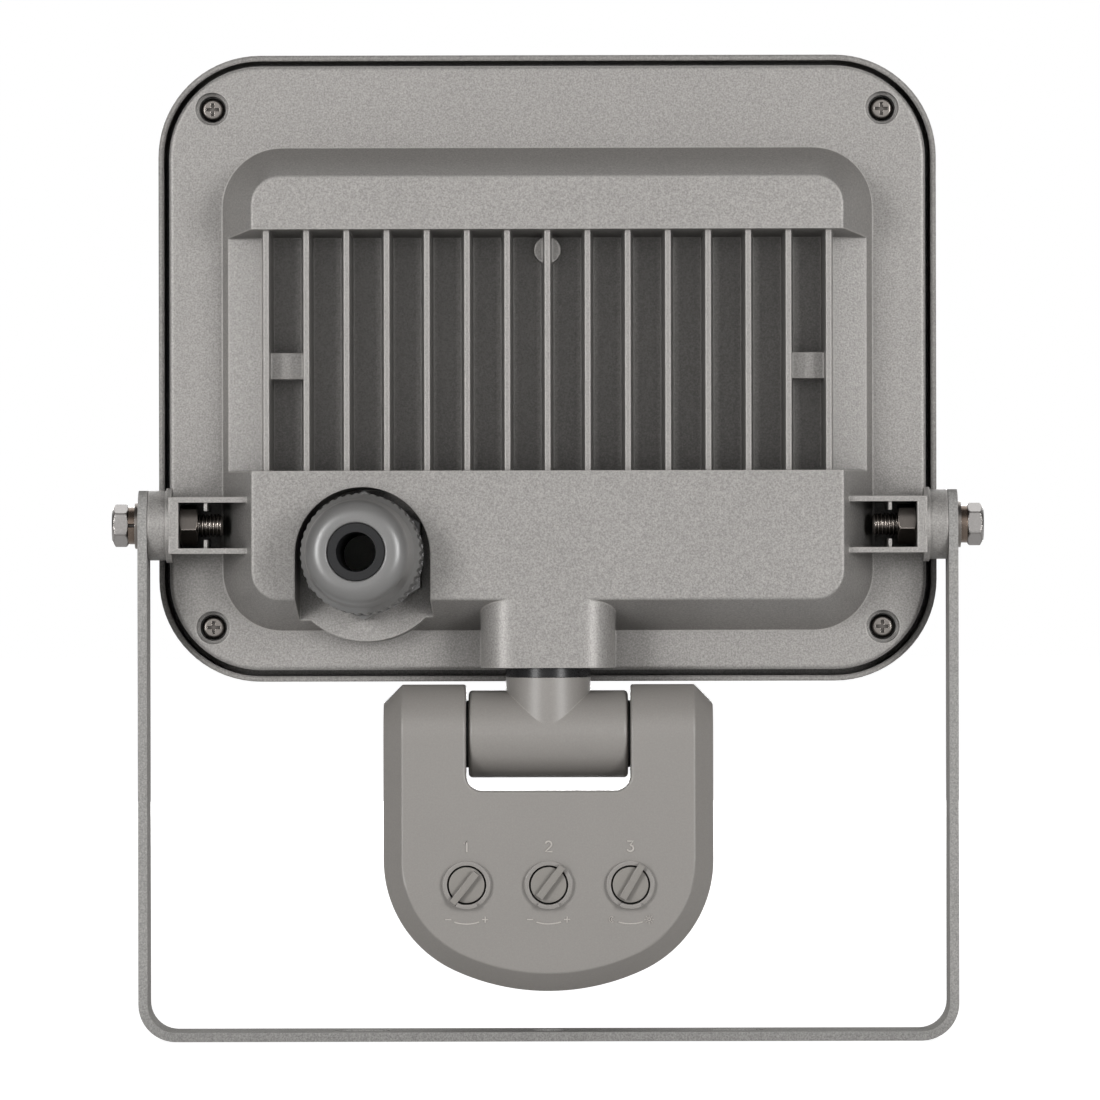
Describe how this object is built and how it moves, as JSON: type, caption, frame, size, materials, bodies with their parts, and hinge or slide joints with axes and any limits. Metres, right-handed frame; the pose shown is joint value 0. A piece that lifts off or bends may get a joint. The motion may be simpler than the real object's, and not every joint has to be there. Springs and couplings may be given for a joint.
{
  "type": "motion sensor floodlight",
  "caption": "Tilting die-cast floodlight on a U-shaped wall bracket, with a finned rear, a cable gland and a passive infrared sensor head on a swivel arm below it.",
  "frame": {"origin": "centre of the fixing-hole pattern on the wall face of the bracket's crossbar", "axes": "+Z away from the mounting surface, towards the lamp; +X along the pivot axis, to the left when seen from behind; the light shines towards -Y and the finned rear faces +Y"},
  "size_m": [0.187, 0.0567, 0.2121],
  "materials": {
    "bracket_coat": "satin metallic grey powder coat, fine grain",
    "housing_coat": "die-cast aluminium under a fine textured metallic grey coat",
    "tempered_glass": "clear tempered pane",
    "silicone": "matt silicone",
    "reflector_white": "white moulded, slight sheen",
    "board_white": "white solder mask on aluminium",
    "phosphor": "yellow phosphor chips",
    "stainless": "plain stainless steel",
    "zinc_steel": "zinc plated",
    "circuit_green": "glass-fibre board with solder mask",
    "transformer_yellow": "taped coil on a ferrite core",
    "capacitor_can": "drawn can",
    "terminal_plastic": "moulded",
    "black_rubber": "matt black",
    "gland_plastic": "moulded nylon, satin",
    "sensor_plastic": "moulded, fine spark-eroded grain",
    "knob_plastic": "moulded, satin",
    "dark_washer": "dark washer",
    "lens_plastic": "milky ribbed polyethylene",
    "cell_amber": "light cell",
    "pot_plastic": "moulded"
  },
  "bodies": {
    "bracket": {"bracket": "bracket_coat"},
    "lamp": {"housing": "housing_coat", "front_frame": "housing_coat", "front_glass": "tempered_glass", "glass_gasket": "silicone", "rim_gasket": "silicone", "reflector": "reflector_white", "led_board": "board_white", "led_chips": "phosphor", "board_screws": "stainless", "corner_screws": "stainless", "driver_board": "circuit_green", "driver_screws": "stainless", "transformer": "transformer_yellow", "capacitors": "capacitor_can", "terminal_block": "terminal_plastic", "gland_washer": "black_rubber", "gland_body": "gland_plastic", "gland_nut": "gland_plastic", "gland_seal": "black_rubber", "gland_locknut": "gland_plastic", "stem_seal": "black_rubber", "flat_washer_left": "stainless", "spring_washer_left": "stainless", "pivot_bolt_left": "stainless", "pivot_nut_left": "stainless", "flat_washer_right": "stainless", "spring_washer_right": "stainless", "pivot_bolt_right": "stainless", "pivot_nut_right": "stainless"},
    "arm": {"swivel_arm": "sensor_plastic", "hub_washer_left": "dark_washer", "hub_washer_right": "dark_washer", "stem_nut": "zinc_steel"},
    "head": {"sensor_rear_shell": "sensor_plastic", "sensor_front_cover": "sensor_plastic", "sensor_lens": "lens_plastic", "sensor_board": "circuit_green", "detector_can": "capacitor_can", "light_cell": "cell_amber", "potentiometers": "pot_plastic", "sensor_board_screws": "zinc_steel"},
    "knob_one": {"knob_one": "knob_plastic"},
    "knob_two": {"knob_two": "knob_plastic"},
    "knob_three": {"knob_three": "knob_plastic"}
  },
  "joints": [
    {"name": "lamp_tilt", "type": "hinge", "parent": "bracket", "child": "lamp", "pos_m": [0, 0, 0.1105], "axis": [1, 0, 0], "continuous": true},
    {"name": "sensor_pan", "type": "hinge", "parent": "lamp", "child": "arm", "pos_m": [0, -0.0006, 0.0656], "axis": [0, 0, 1], "range_deg": [-90, 90]},
    {"name": "sensor_tilt", "type": "hinge", "parent": "arm", "child": "head", "pos_m": [0, -0.0006, 0.0656], "axis": [1, 0, 0], "range_deg": [-30, 75]},
    {"name": "knob_one_turn", "type": "hinge", "parent": "head", "child": "knob_one", "pos_m": [0.0175, 0, 0.0336], "axis": [0, -1, 0], "range_deg": [0, 282.8]},
    {"name": "knob_two_turn", "type": "hinge", "parent": "head", "child": "knob_two", "pos_m": [0, 0, 0.0336], "axis": [0, -1, 0], "range_deg": [-178.4, 104.4]},
    {"name": "knob_three_turn", "type": "hinge", "parent": "head", "child": "knob_three", "pos_m": [-0.0175, 0, 0.0336], "axis": [0, -1, 0], "range_deg": [-171.4, 111.4]}
  ]
}
